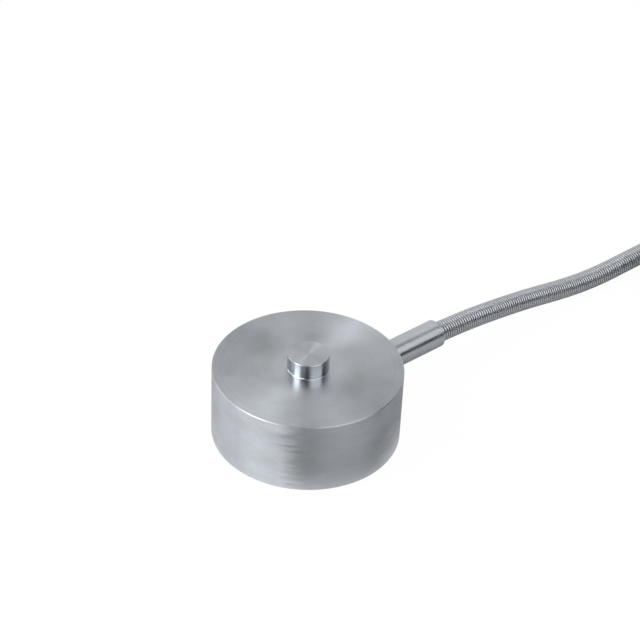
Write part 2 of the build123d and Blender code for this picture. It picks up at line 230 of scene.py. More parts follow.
def wound_wire(start, end, steps_per_turn, rows):
    """A bmesh of the wire's outer half from one length along the hose to another."""
    turns = round((end - start) / wire_pitch)
    first_turn = round(start / wire_pitch)
    wire = bmesh.new()
    bmesh.ops.create_grid(
        wire, x_segments=turns * steps_per_turn, y_segments=rows, size=1.0
    )
    groove = wire.verts.layers.float.new("groove")
    flat = np.array([vertex.co[:] for vertex in wire.verts])
    turned = (first_turn + (flat[:, 0] + 1) / 2 * turns) * 2 * np.pi
    round_wire = flat[:, 1] * np.pi / 2
    travel = (turned / (2 * np.pi) + 0.5) * wire_pitch + wire_radius * np.sin(round_wire)
    reach = wire_circle + wire_radius * np.cos(round_wire)
    travel = np.clip(travel, 0.0, hose_length)
    sideways = np.cos(turned)[:, None] * on_hose(travel, hose_side)
    sideways += np.sin(turned)[:, None] * on_hose(travel, hose_other)
    wound = on_hose(travel, hose_path) + sideways * reach[:, None]
    for vertex, place, depth in zip(wire.verts, wound, np.abs(flat[:, 1])):
        vertex.co = place
        vertex[groove] = depth
    bmesh.ops.remove_doubles(wire, verts=wire.verts, dist=merge_distance)
    return wire


# %% Make a piece of a bmesh
def finish_mesh(name, shape, material):
    """Turn a bmesh into an object whose faces point outwards."""
    bmesh.ops.recalc_face_normals(shape, faces=shape.faces)
    mesh = bpy.data.meshes.new(name)
    shape.to_mesh(mesh)
    shape.free()
    mesh.shade_smooth()
    mesh.materials.append(material)
    piece = bpy.data.objects.new(name, mesh)
    bpy.context.scene.collection.objects.link(piece)
    return piece


# %% Near and far wire
near_length = 95 * mm
near_turns = round(near_length / wire_pitch)
near_wire = wound_wire(0.0, near_turns * wire_pitch, steps_per_turn=28, rows=6)
far_wire = wound_wire(near_turns * wire_pitch, hose_length - wire_pitch, steps_per_turn=14, rows=2)
print("faces on the near and far wire:", len(near_wire.faces), len(far_wire.faces))

# %% [markdown]
# ## Materials
# Each finish is a node tree on object coordinates, so it needs no picture and looks the same from
# all sides. A few short helpers place the nodes, so that each finish further down reads as a
# recipe: noise gives the marks, a mask says where they lie, and a mix puts them on.


# %% Helpers for node trees
def add_node(tree, kind, inputs=None, **settings):
    """A node with its settings, whose inputs are numbers, colours or links."""
    node = tree.nodes.new(kind)
    for name, value in settings.items():
        setattr(node, name, value)
    for name, value in (inputs or {}).items():
        if isinstance(value, bpy.types.NodeSocket):
            tree.links.new(value, node.inputs[name])
        else:
            node.inputs[name].default_value = value
    return node


def math_node(tree, operation, first, second=0.0):
    """The result of one sum on two values."""
    return add_node(tree, "ShaderNodeMath", {0: first, 1: second}, operation=operation).outputs[0]


def product(tree, first, *others):
    """Several values or masks multiplied together."""
    for other in others:
        first = math_node(tree, "MULTIPLY", first, other)
    return first


def blend(tree, first, first_share, second, second_share):
    """Two values added up in these shares."""
    return math_node(
        tree, "ADD", product(tree, first, first_share), product(tree, second, second_share)
    )


def spread(tree, value, low, high, to_low=0.0, to_high=1.0):
    """A value stretched from one range to another, and kept inside it."""
    ends = {"From Min": low, "From Max": high, "To Min": to_low, "To Max": to_high}
    return add_node(tree, "ShaderNodeMapRange", {"Value": value, **ends}).outputs["Result"]


# %% Helpers for places, noise and relief
def from_axis(tree, place):
    """How far a place lies from the Z axis, and the node that holds its coordinates."""
    split = add_node(tree, "ShaderNodeSeparateXYZ", {"Vector": place})
    flat = add_node(
        tree, "ShaderNodeCombineXYZ", {"X": split.outputs["X"], "Y": split.outputs["Y"]}
    )
    length = add_node(tree, "ShaderNodeVectorMath", {0: flat.outputs[0]}, operation="LENGTH")
    return length.outputs["Value"], split


def from_corner(tree, first, second):
    """The length of a slanting line whose two sides have these lengths."""
    squares = math_node(tree, "ADD", product(tree, first, first), product(tree, second, second))
    return math_node(tree, "SQRT", squares)


def noise(tree, place, scale, detail=2.0, roughness=0.5, **settings):
    """Soft noise, mostly between 0.3 and 0.7, with this many lumps to a metre."""
    look = {"Vector": place, "Scale": scale, "Detail": detail, "Roughness": roughness}
    return add_node(tree, "ShaderNodeTexNoise", look, **settings).outputs["Fac"]


def relief(tree, height, depth):
    """The surface's direction with this height as relief, for this depth in metres."""
    raised = {"Height": height, "Strength": 1.0, "Distance": depth}
    return add_node(tree, "ShaderNodeBump", raised).outputs["Normal"]


# %% Helpers that mix by a mask
def mix_colours(tree, mask, first, second):
    """One colour where the mask is 0 and another where it is 1."""
    mix = add_node(tree, "ShaderNodeMix", {"Factor": mask}, data_type="RGBA")
    for socket, colour in ((mix.inputs["A"], first), (mix.inputs["B"], second)):
        if isinstance(colour, bpy.types.NodeSocket):
            tree.links.new(colour, socket)
        else:
            socket.default_value = (*colour, 1.0)
    return mix.outputs["Result"]


def mix_values(tree, mask, first, second):
    """One value where the mask is 0 and another where it is 1."""
    return add_node(
        tree, "ShaderNodeMix", {"Factor": mask, "A": first, "B": second}, data_type="FLOAT"
    ).outputs["Result"]


# %% Helpers for materials and node groups
def new_material(name, colour, roughness, metallic=0.0):
    """A material, its tree and its Principled shader with plain values set."""
    material = bpy.data.materials.new(name)
    material.use_nodes = True
    tree = material.node_tree
    shader = tree.nodes["Principled BSDF"]
    shader.inputs["Base Color"].default_value = (*colour, 1.0)
    shader.inputs["Roughness"].default_value = roughness
    shader.inputs["Metallic"].default_value = metallic
    return material, tree, shader


def object_place(tree, centre=(0, 0, 0), turn=(0, 0, 0)):
    """Object coordinates, moved so that a centre is at zero and then turned."""
    coordinates = add_node(tree, "ShaderNodeTexCoord")
    moved = add_node(
        tree,
        "ShaderNodeVectorMath",
        {0: coordinates.outputs["Object"], 1: centre},
        operation="SUBTRACT",
    )
    turned = add_node(tree, "ShaderNodeMapping", {"Vector": moved.outputs[0], "Rotation": turn})
    return turned.outputs["Vector"]


def feed(tree, shader, inputs):
    """Link these results to the shader's inputs."""
    for name, value in inputs.items():
        tree.links.new(value, shader.inputs[name])


def new_group(name, inputs, outputs):
    """An empty node group with named inputs and outputs."""
    group = bpy.data.node_groups.new(name, "ShaderNodeTree")
    for label, kind, value in inputs:
        socket = group.interface.new_socket(label, in_out="INPUT", socket_type=kind)
        if value is not None:
            socket.default_value = value
    for label, kind in outputs:
        group.interface.new_socket(label, in_out="OUTPUT", socket_type=kind)
    return group, group.nodes.new("NodeGroupInput"), group.nodes.new("NodeGroupOutput")


def use_group(tree, group, inputs):
    """A node group placed in a material."""
    return add_node(tree, "ShaderNodeGroup", inputs, node_tree=group)


# %% [markdown]
# ### Lathe marks
# A turning tool leaves fine rings: on a flat face they change with the distance from the axis,
# on a round wall with the place along it. Noise that is read at (distance, place along) gives
# both at once. A second, slow noise makes the broad bands where the tool cut a little differently.
# Several pieces are turned, so the marks are a node group, built once.

# %% Group for lathe marks
lathe_marks, marks_in, marks_out = new_group(
    "lathe_marks",
    [
        ("Vector", "NodeSocketVector", None),
        ("Lines per mm", "NodeSocketFloat", 6.0),
        ("Bands per mm", "NodeSocketFloat", 0.5),
    ],
    [("Fine", "NodeSocketFloat"), ("Broad", "NodeSocketFloat"), ("Cloud", "NodeSocketFloat")],
)
distance, split = from_axis(lathe_marks, marks_in.outputs["Vector"])
ring_place = add_node(
    lathe_marks, "ShaderNodeCombineXYZ", {"X": distance, "Y": split.outputs["Z"]}
).outputs[0]
for label, per_mm, detail in (("Fine", "Lines per mm", 2.0), ("Broad", "Bands per mm", 1.0)):
    per_metre = product(lathe_marks, marks_in.outputs[per_mm], 1000.0)
    rings = noise(lathe_marks, ring_place, per_metre, detail, 0.55, noise_dimensions="2D")
    lathe_marks.links.new(rings, marks_out.inputs[label])
cloud = noise(lathe_marks, marks_in.outputs["Vector"], 120.0, 3.0, 0.6)
lathe_marks.links.new(cloud, marks_out.inputs["Cloud"])
print("lathe marks group has", len(lathe_marks.nodes), "nodes")

# %% [markdown]
# ### The tapped holes
# All eight holes lie on one circle, so one hole's pattern serves them all: the angle round the
# base is folded into a single eighth, and the distance from that eighth's hole tells what lies
# inside it. The thread is a fine screw line there. Inside the holes the colour is painted shade:
# near black, with slightly paler bands along the screw line.

# %% Group for the tapped holes
hole_circle_radius = 21.25 * mm
hole_mouth_radius = 2.62 * mm
hole_starts_at = 0.05 * mm
hole_ends_by = 11.0 * mm
thread_pitch = 0.8 * mm
eighth = math.pi / 4
tapped_holes, holes_in, holes_out = new_group(
    "tapped_holes",
    [("Vector", "NodeSocketVector", None)],
    [("Inside", "NodeSocketFloat"), ("Thread", "NodeSocketFloat")],
)
distance, split = from_axis(tapped_holes, holes_in.outputs["Vector"])
angle = math_node(tapped_holes, "ARCTAN2", split.outputs["Y"], split.outputs["X"])
past_eighth = math_node(tapped_holes, "FLOORED_MODULO", angle, eighth)
folded = math_node(tapped_holes, "SUBTRACT", past_eighth, eighth / 2)
along_spoke = product(tapped_holes, distance, math_node(tapped_holes, "COSINE", folded))
outwards = math_node(tapped_holes, "SUBTRACT", along_spoke, hole_circle_radius)
across = product(tapped_holes, distance, math_node(tapped_holes, "SINE", folded))
inside = product(
    tapped_holes,
    math_node(
        tapped_holes, "LESS_THAN", from_corner(tapped_holes, outwards, across), hole_mouth_radius
    ),
    math_node(tapped_holes, "GREATER_THAN", split.outputs["Z"], hole_starts_at),
    math_node(tapped_holes, "LESS_THAN", split.outputs["Z"], hole_ends_by),
)
tapped_holes.links.new(inside, holes_out.inputs["Inside"])
round_hole = math_node(tapped_holes, "ARCTAN2", across, outwards)
turns_up = blend(tapped_holes, split.outputs["Z"], 1 / thread_pitch, round_hole, 0.5 / math.pi)
ridge = math_node(tapped_holes, "PINGPONG", turns_up, 0.5)
tapped_holes.links.new(product(tapped_holes, ridge, 2.0), holes_out.inputs["Thread"])
print("tapped holes group has", len(tapped_holes.nodes), "nodes")

# %% [markdown]
# ### Worn edges
# Handling polishes the outer edges of a turned part. Each such edge is a circle at a known
# radius and height, so the mask is the distance from that circle, broken up by a little noise.

# %% Group for worn edges
worn_edge, edge_in, edge_out = new_group(
    "worn_edge",
    [
        ("Vector", "NodeSocketVector", None),
        ("Radius", "NodeSocketFloat", 0.025),
        ("Height", "NodeSocketFloat", 0.02),
        ("Reach", "NodeSocketFloat", 0.0006),
    ],
    [("Worn", "NodeSocketFloat")],
)
distance, split = from_axis(worn_edge, edge_in.outputs["Vector"])
outwards = math_node(worn_edge, "SUBTRACT", distance, edge_in.outputs["Radius"])
upwards = math_node(worn_edge, "SUBTRACT", split.outputs["Z"], edge_in.outputs["Height"])
from_edge = from_corner(worn_edge, outwards, upwards)
share_of_reach = math_node(worn_edge, "DIVIDE", from_edge, edge_in.outputs["Reach"])
near_edge = math_node(worn_edge, "SUBTRACT", 1.0, share_of_reach)
chips = noise(worn_edge, edge_in.outputs["Vector"], 900.0, 3.0, 0.6)
broken = blend(worn_edge, near_edge, 1.0, math_node(worn_edge, "SUBTRACT", chips, 0.5), 0.8)
worn_edge.links.new(spread(worn_edge, broken, 0.1, 0.6), edge_out.inputs["Worn"])
print("worn edge group has", len(worn_edge.nodes), "nodes")

# %% [markdown]
# ### The body
# One turned piece of stainless steel, satin all over. Its colour is a mix of two close greys by
# the lathe marks, clouded by a slow haze from handling. The groups then add the worn top edge and
# the painted shade inside the threaded holes.

# %% Colour of the body
top_edge_radius = 24.9 * mm
top_edge_height = 20.5 * mm
top_edge_reach = 0.35 * mm
body_steel, tree, shader = new_material("body_steel", (0.54, 0.57, 0.63), 0.33, metallic=1.0)
place = object_place(tree)
marks = use_group(
    tree, lathe_marks, {"Vector": place, "Lines per mm": 11.0, "Bands per mm": 1.4}
)
cut = blend(tree, marks.outputs["Fine"], 0.7, marks.outputs["Broad"], 0.3)
bright_steel = mix_colours(
    tree, spread(tree, cut, 0.3, 0.7), (0.525, 0.55, 0.592), (0.59, 0.615, 0.655)
)
haze_place = add_node(tree, "ShaderNodeMapping", {"Vector": place, "Scale": (1.0, 1.0, 1.6)})
haze = noise(tree, haze_place.outputs["Vector"], 95.0, 3.5, 0.55)
hazy = product(tree, spread(tree, haze, 0.42, 0.68), 0.75)
steel_tone = mix_colours(tree, hazy, bright_steel, (0.46, 0.49, 0.505))
worn = use_group(
    tree,
    worn_edge,
    {
        "Vector": place,
        "Radius": top_edge_radius,
        "Height": top_edge_height,
        "Reach": top_edge_reach,
    },
).outputs["Worn"]
worn_tone = mix_colours(tree, worn, steel_tone, (0.57, 0.59, 0.62))
holes = use_group(tree, tapped_holes, {"Vector": place})
# Painted shade: inside each tapped hole the colour is near black, with slightly paler bands along
# the screw line.
painted_thread_shade = mix_colours(
    tree, holes.outputs["Thread"], (0.012, 0.007, 0.005), (0.12, 0.075, 0.05)
)
body_tone = mix_colours(tree, holes.outputs["Inside"], worn_tone, painted_thread_shade)
print("nodes for the body's colour:", len(tree.nodes))

# %% [markdown]
# The wall, the ring round the button, and the button's side and top were each cut with another
# tool or feed, so each has its own roughness. A zone is found by its distance from the load axis
# and by its height, and the zones are laid over each other one by one.

# %% Roughness of the body
wall_from = 24.7 * mm
wall_top = 20.38 * mm
ring_full = 8.0 * mm
ring_fades_out = 14.0 * mm
upper_half_from = 15.0 * mm
button_side = 4.1 * mm
button_bevel = 0.17 * mm
button_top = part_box("body")[1][2]
distance, split = from_axis(tree, place)
height = split.outputs["Z"]
round_button = product(
    tree,
    spread(tree, distance, ring_fades_out, ring_full),
    math_node(tree, "GREATER_THAN", height, upper_half_from),
)
on_wall = product(
    tree,
    math_node(tree, "GREATER_THAN", distance, wall_from),
    math_node(tree, "LESS_THAN", height, wall_top),
)
on_button = math_node(tree, "GREATER_THAN", height, button_top - button_side)
on_button_top = math_node(tree, "GREATER_THAN", height, button_top - button_bevel)
zones = [
    (round_button, 0.3),
    (on_wall, 0.44),
    (worn, 0.48),
    (on_button, 0.2),
    (on_button_top, 0.4),
    (holes.outputs["Inside"], 0.5),
]
rough = spread(tree, marks.outputs["Cloud"], 0.3, 0.7, 0.48, 0.58)
for zone, zone_roughness in zones:
    rough = mix_values(tree, zone, rough, zone_roughness)
print("zones of the body's roughness:", len(zones))

# %% [markdown]
# Reflections on turned steel stretch across the lathe marks. The shader's anisotropy does that,
# with a tangent that runs round the load axis. On the wall the edges of the reflections are also
# frayed into level streaks, because the tool's direction wandered from ring to ring. So the
# normal there is tilted a little along the tangent, by a noise that is squeezed in height.


# %% Relief and streaks of the body
def stretch_reflections(tree, shader, amount, axis):
    """Stretch reflections across the marks that run round this axis, and give the tangent."""
    around = add_node(tree, "ShaderNodeTangent", direction_type="RADIAL", axis=axis)
    shader.inputs["Anisotropic"].default_value = amount
    shader.inputs["Anisotropic Rotation"].default_value = 0.25
    tree.links.new(around.outputs["Tangent"], shader.inputs["Tangent"])
    return around.outputs["Tangent"]


round_axis = stretch_reflections(tree, shader, 0.78, "Z")
steel_height = blend(tree, cut, 0.016, product(tree, haze, on_wall), 0.7)
body_height = mix_values(
    tree, holes.outputs["Inside"], steel_height, holes.outputs["Thread"]
)
streak_place = add_node(tree, "ShaderNodeMapping", {"Vector": place, "Scale": (1.0, 1.0, 9.0)})
streaks = noise(tree, streak_place.outputs["Vector"], 110.0)
largest_tilt = 0.07
tilt = product(tree, spread(tree, streaks, 0.3, 0.7, -largest_tilt, largest_tilt), on_wall)
tilted = add_node(
    tree,
    "ShaderNodeVectorMath",
    {0: round_axis, 1: tilt, 2: relief(tree, body_height, 0.3 * mm)},
    operation="MULTIPLY_ADD",
)
facing = add_node(
    tree, "ShaderNodeVectorMath", {0: tilted.outputs["Vector"]}, operation="NORMALIZE"
)
feed(
    tree,
    shader,
    {"Base Color": body_tone, "Roughness": rough, "Normal": facing.outputs["Vector"]},
)
nodes["body"].data.materials[0] = body_steel
print("body material has", len(tree.nodes), "nodes")

# %% [markdown]
# ### The sealing disc
# The disc is blasted matt, so it looks pale and even. The weld that holds it left a ring of
# brown heat tint, speckled where the bead is rough, with a straw-coloured halo on both sides.
# Both are masks of one measure, the distance from the weld's circle, made ragged by the grain.

# %% Finish of the disc
weld_radius = 13.75 * mm
raggedness = 0.9 * mm
halo_full = 0.7 * mm
halo_fades_out = 2.4 * mm
bead_full = 0.5 * mm
bead_fades_out = 0.85 * mm
disc_steel, tree, shader = new_material("disc_steel", (0.7, 0.69, 0.65), 0.55, metallic=0.55)
place = object_place(tree)
grain = noise(tree, place, 2600.0, 4.0, 0.7)
speckle = noise(tree, place, 1700.0, 3.0, 0.75)
from_centre = from_axis(tree, place)[0]
from_weld = math_node(tree, "ABSOLUTE", math_node(tree, "SUBTRACT", from_centre, weld_radius))
ragged = blend(tree, from_weld, 1.0, math_node(tree, "SUBTRACT", grain, 0.5), raggedness)
halo = spread(tree, ragged, halo_fades_out, halo_full)
bead = spread(tree, ragged, bead_fades_out, bead_full)
blasted = mix_colours(
    tree, spread(tree, grain, 0.35, 0.65), (0.62, 0.61, 0.575), (0.76, 0.75, 0.71)
)
tinted = mix_colours(tree, product(tree, halo, 0.75), blasted, (0.63, 0.56, 0.4))
bead_tone = mix_colours(
    tree, spread(tree, speckle, 0.42, 0.58), (0.16, 0.1, 0.05), (0.6, 0.5, 0.34)
)
disc_height = blend(tree, grain, 0.35, product(tree, speckle, bead), 1.0)
feed(
    tree,
    shader,
    {
        "Base Color": mix_colours(tree, bead, tinted, bead_tone),
        "Roughness": mix_values(tree, bead, spread(tree, grain, 0.3, 0.7, 0.48, 0.62), 0.4),
        "Normal": relief(tree, disc_height, 0.05 * mm),
    },
)
nodes["sealing_disc"].data.materials[0] = disc_steel
print("disc material has", len(tree.nodes), "nodes")

# %% [markdown]
# ### The outlet and the ferrule
# These were turned on a small lathe and are brighter than the body. Their axes do not lie along
# Z, so the pattern's place is moved to the axis and turned before it is read.


# %% Recipe for small turned pieces
def turned_steel(name, colour, roughness, centre, turn, lines, shading, depth):
    """Lathe-turned stainless steel, with the lathe's axis along Z after the turn."""
    material, tree, shader = new_material(name, colour, roughness, metallic=1.0)
    place = object_place(tree, centre, turn)
    marks = use_group(tree, lathe_marks, {"Vector": place, "Lines per mm": lines})
    cut = blend(tree, marks.outputs["Fine"], 0.55, marks.outputs["Broad"], 0.45)
    cloud = marks.outputs["Cloud"]
    darker = tuple(part * (1 - shading) for part in colour)
    lighter = tuple(min(1.0, part * (1 + shading)) for part in colour)
    feed(
        tree,
        shader,
        {
            "Base Color": mix_colours(tree, spread(tree, cut, 0.3, 0.7), darker, lighter),
            "Roughness": spread(tree, cloud, 0.3, 0.7, roughness - 0.05, roughness + 0.05),
            "Normal": relief(tree, marks.outputs["Fine"], depth),
        },
    )
    return material, tree, shader


# %% Finish of the outlet
quarter_turn = math.radians(90)
outlet_steel, tree, shader = turned_steel(
    "outlet_steel",
    (0.61, 0.645, 0.69),
    0.38,
    centre=(0.0, 0.0, outlet_height),
    turn=(0.0, quarter_turn, 0.0),
    lines=11.0,
    shading=0.06,
    depth=0.0003 * mm,
)
stretch_reflections(tree, shader, 0.8, "X")
nodes["outlet_stub"].data.materials[0] = outlet_steel
nodes["cable_sleeve"].data.materials[0] = outlet_steel
print("outlet material has", len(tree.nodes), "nodes")

# %% Finish of the ferrule
ferrule_steel, tree, shader = turned_steel(
    "ferrule_steel",
    (0.58, 0.59, 0.6),
    0.26,
    centre=tuple(tail_start),
    turn=(0.0, quarter_turn, tail_turned - quarter_turn),
    lines=8.0,
    shading=0.08,
    depth=0.004 * mm,
)
nodes["end_ferrule"].data.materials[0] = ferrule_steel
print("ferrule material has", len(tree.nodes), "nodes")

# %% [markdown]
# ### The hose
# Drawn wire is bright, with a fine grain. Where two turns meet, the colour is painted shade: near
# black, with a duller finish. The mesh carries how near each point is to that groove, so the
# painted shade follows the winding.

# %% Finish of the hose
hose_steel, tree, shader = new_material("hose_steel", (0.57, 0.59, 0.63), 0.3, metallic=1.0)
groove = add_node(tree, "ShaderNodeAttribute", attribute_name="groove").outputs["Fac"]
place = object_place(tree)
grain = noise(tree, place, 3000.0, 3.0, 0.6)
patches = noise(tree, place, 90.0)
wire_tone = mix_colours(
    tree, spread(tree, grain, 0.35, 0.65), (0.56, 0.585, 0.63), (0.72, 0.745, 0.79)
)
wire_roughness = spread(tree, patches, 0.3, 0.7, 0.27, 0.36)
# Painted shade: where two turns of wire meet, the colour goes near black and the finish duller.
painted_groove_shade = product(
    tree, spread(tree, groove, 0.3, 0.75), spread(tree, patches, 0.3, 0.7, 0.85, 1.0)
)
feed(
    tree,
    shader,
    {
        "Base Color": mix_colours(tree, painted_groove_shade, wire_tone, (0.07, 0.07, 0.068)),
        "Roughness": mix_values(tree, painted_groove_shade, wire_roughness, 0.6),
        "Normal": relief(tree, grain, 0.004 * mm),
    },
)
print("hose material has", len(tree.nodes), "nodes")

# %% [markdown]
# The near and the far wire are joined into one mesh, and the two open ends of the wire are filled,
# so that the hose is one closed skin. It takes the place of the three plain tubes of the solids.

# %% Hose
joined = bpy.data.meshes.new("far_wire")
far_wire.to_mesh(joined)
far_wire.free()
near_wire.from_mesh(joined)
bpy.data.meshes.remove(joined)
bmesh.ops.remove_doubles(near_wire, verts=near_wire.verts, dist=merge_distance)
open_edges = [edge for edge in near_wire.edges if edge.is_boundary]
bmesh.ops.holes_fill(near_wire, edges=open_edges, sides=0)
left_open = [edge for edge in near_wire.edges if edge.is_boundary]
print("open edges on the hose:", len(open_edges), "left open:", len(left_open))
hose = finish_mesh("armoured_hose", near_wire, hose_steel)
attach(hose, "root")
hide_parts("hose_run", "hose_coil", "hose_tail")

# %% [markdown]
# ### Plastic, rubber and the coloured cores
# Moulded and extruded plastics share one recipe: a slow change of tone, a fine grain, a little
# scuffing that is paler and rougher, and a shallow bump. Each gets its own colours and scales.


# %% Recipe for plastics
def plastic(name, colour, roughness, grain_mm, depth_mm, scuffs=0.25):
    """A plastic or rubber with grain, tone and scuffs."""
    material, tree, shader = new_material(name, colour, roughness)
    place = object_place(tree)
    grain = noise(tree, place, 1000 / grain_mm, 4.0)
    slow = noise(tree, place, 70.0)
    scratch_place = add_node(
        tree, "ShaderNodeMapping", {"Vector": place, "Scale": (1.0, 0.15, 0.4)}
    )
    scratches = noise(tree, scratch_place.outputs["Vector"], 900.0, 5.0)
    worn = product(tree, spread(tree, scratches, 0.58, 0.72), scuffs)
    deep = tuple(part * 0.8 for part in colour)
    pale = tuple(min(1.0, part * 1.2 + 0.01) for part in colour)
    scuffed = tuple(min(1.0, part * 1.3 + 0.06) for part in colour)
    tone = mix_colours(tree, spread(tree, slow, 0.3, 0.7), deep, pale)
    swing = spread(tree, grain, 0.3, 0.7, roughness - 0.06, roughness + 0.06)
    feed(
        tree,
        shader,
        {
            "Base Color": mix_colours(tree, worn, tone, scuffed),
            "Roughness": mix_values(tree, worn, swing, 0.75),
            "Normal": relief(tree, grain, depth_mm * mm),
        },
    )
    return material


tie_plastic = plastic("tie_plastic", (0.018, 0.018, 0.019), 0.42, 0.5, 0.02)
seal_rubber = plastic("seal_rubber", (0.022, 0.022, 0.022), 0.7, 0.25, 0.03)
cable_jacket = plastic("cable_jacket", (0.06, 0.06, 0.064), 0.5, 0.35, 0.02)
core_colours = {
    "red": (0.55, 0.03, 0.025),
    "black": (0.015, 0.015, 0.016),
    "green": (0.02, 0.26, 0.06),
    "white": (0.78, 0.78, 0.75),
}
core_finishes = {
    name: plastic("core_" + name, colour, 0.32, 0.3, 0.006, scuffs=0.12)
    for name, colour in core_colours.items()
}
print("plastics made:", 3 + len(core_finishes))

# %% Give the plastics to their pieces
tie_names = ["coil_tie_1", "coil_tie_2", "coil_tie_3"]
for name in tie_names:
    nodes[name].data.materials[0] = tie_plastic
nodes["port_seal"].data.materials[0] = seal_rubber
nodes["signal_cable"].data.materials[0] = cable_jacket
nodes["cable_end"].data.materials[0] = cable_jacket
for number, name in enumerate(core_colours):
    nodes["inner_lead_" + str(number + 1)].data.materials[0] = core_finishes[name]
print("ties, seal, jackets and inner cores are finished")

# %% [markdown]
# ### The loose cores
# Beyond the jacket the four cores fan out on top of the coil. They are soft, so each is a smooth
# NURBS line of its own, and a short rod with a fine grain stands for its stranded, tinned tip.

# %% Finish of the tinned tips
tinned_copper, tree, shader = new_material("tinned_copper", (0.62, 0.61, 0.58), 0.35, metallic=1.0)
place = object_place(tree)
strands = noise(tree, place, 2500.0, 4.0, 0.65)
feed(
    tree,
    shader,
    {
        "Base Color": mix_colours(tree, strands, (0.42, 0.4, 0.37), (0.78, 0.77, 0.74)),
        "Roughness": spread(tree, strands, 0.3, 0.7, 0.25, 0.5),
        "Normal": relief(tree, strands, 0.03 * mm),
    },
)
print("tinned copper has", len(tree.nodes), "nodes")

# %% [markdown]
# Each core has its place in the jacket, across and up in steps of the cores' pitch, and its share
# of the fan, in millimetres off the circle on which the cores come to lie.

# %% Sizes of the loose cores
core_diameter = 0.9 * mm
core_pitch = 1.1 * mm
lead_straight_length = 3.5 * mm
lead_circle_radius = 35.9 * mm
lead_rests_at = -7
lead_ends_at = -19
lead_rest_height = 0.7 * mm
lead_end_height = 0.57 * mm
tip_diameter = 0.5 * mm
tip_taper = 0.8
tip_length = 4.0 * mm
tip_rounding = 0.08 * mm
level_within = 0.01 * mm
fan_share_at_rest = 0.9
core_ends = {
    "red": (-0.5, -0.5, -3.3),
    "black": (-0.5, 0.5, -0.7),
    "green": (0.5, 0.5, 1.0),
    "white": (0.5, -0.5, 3.0),
}
print("loose cores:", len(core_ends))


# %% Route and tip of a loose core
def core_route(across, up, fan):
    """Points of a loose core, from its place in the jacket to where its tip begins."""
    first = tail_start + tail_along * tail_length + tail_side * across * core_pitch
    first.z += up * core_pitch
    rest_radius = lead_circle_radius + fan_share_at_rest * fan * mm
    end_radius = lead_circle_radius + fan * mm
    return [
        first,
        first + tail_along * lead_straight_length,
        round_coil(lead_rests_at, rest_radius, notch_floor + lead_rest_height),
        round_coil(lead_ends_at, end_radius, notch_floor + lead_end_height),
    ]


def tinned_tip(name, start, direction):
    """A short tapered rod with rounded rims, from this place in this direction."""
    rod = bmesh.new()
    bmesh.ops.create_cone(
        rod,
        cap_ends=True,
        segments=12,
        radius1=tip_diameter / 2,
        radius2=tip_diameter / 2 * tip_taper,
        depth=tip_length,
    )
    rims = [
        edge
        for edge in rod.edges
        if abs(edge.verts[0].co.z - edge.verts[1].co.z) < level_within
    ]
    bmesh.ops.bevel(
        rod, geom=rims, offset=tip_rounding, segments=2, profile=0.5, affect="EDGES", material=-1
    )
    turned = direction.to_track_quat("Z", "Y").to_matrix().to_4x4()
    middle = start + direction * tip_length / 2
    bmesh.ops.transform(rod, matrix=Matrix.Translation(middle) @ turned, verts=rod.verts)
    return finish_mesh("tinned_tip_" + name, rod, tinned_copper)


# %% Loose cores
on_the_hose = [nodes[name] for name in ["end_ferrule", "cable_end", *tie_names]]
for name, (across, up, fan) in core_ends.items():
    lead_route = core_route(across, up, fan)
    lead = smooth_line("loose_core_" + name, lead_route, core_diameter / 2)
    lead.data.materials.append(core_finishes[name])
    tip = tinned_tip(name, lead_route[-1], (lead_route[-1] - lead_route[-2]).normalized())
    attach(tip, "root")
    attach(lead, "root")
    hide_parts("lead_" + name)
    on_the_hose += [lead, tip]
print("pieces that go with the hose:", len(on_the_hose))

# %% [markdown]
# The ferrule, the ties and the loose cores belong to the hose: they lie where its end lies.

print("the hose is declared as a cord of", len(hose_path), "points")

# %% [markdown]
# ### The circuit inside
# The gauges, the board and its parts are sealed in, but they keep their own looks, for anyone who
# takes the disc off. The board is glass cloth under a green coating, so two crossed waves make the
# weave, and a noise makes the coating uneven.

# %% Finish of the board
board_finish, tree, shader = new_material("board", (0.02, 0.14, 0.06), 0.35)
place = object_place(tree)
weave = []
for direction in ("X", "Y"):
    wave = add_node(
        tree,
        "ShaderNodeTexWave",
        {"Vector": place, "Scale": 500.0, "Distortion": 0.6, "Detail": 1.0},
        bands_direction=direction,
    )
    weave.append(wave.outputs["Fac"])
cloth = product(tree, *weave)
coating = noise(tree, place, 300.0, 3.0)
feed(
    tree,
    shader,
    {
        "Base Color": mix_colours(
            tree, product(tree, cloth, coating), (0.012, 0.1, 0.045), (0.035, 0.2, 0.08)
        ),
        "Roughness": spread(tree, coating, 0.3, 0.7, 0.28, 0.42),
        "Normal": relief(tree, cloth, 0.02 * mm),
    },
)
nodes["circuit_board"].data.materials[0] = board_finish
print("board material has", len(tree.nodes), "nodes")

# %% [markdown]
# The pins are gilt, and the gauges' fine wires are enamelled copper. Both are smooth, with only a
# fine grain in tone, gloss and relief, so one recipe makes both.


# %% Finish of the pins and the fine wires
def drawn_metal(name, dark, light, roughness):
    """A smooth metal with a fine grain between two close tones."""
    material, tree, shader = new_material(name, light, roughness, metallic=1.0)
    grain = noise(tree, object_place(tree), 1800.0, 4.0)
    feed(
        tree,
        shader,
        {
            "Base Color": mix_colours(tree, spread(tree, grain, 0.3, 0.7), dark, light),
            "Roughness": spread(tree, grain, 0.3, 0.7, roughness - 0.06, roughness + 0.08),
            "Normal": relief(tree, grain, 0.006 * mm),
        },
    )
    return material


gauge_numbers = range(1, 5)
pin_brass = drawn_metal("pin_brass", (0.55, 0.4, 0.16), (0.8, 0.62, 0.3), 0.28)
enamelled_wire = drawn_metal("enamelled_wire", (0.42, 0.13, 0.05), (0.62, 0.24, 0.1), 0.3)
nodes["solder_pins"].data.materials[0] = pin_brass
for number in gauge_numbers:
    nodes["gauge_wires_" + str(number)].data.materials[0] = enamelled_wire
print("pins and", len(gauge_numbers), "sets of gauge wires are finished")

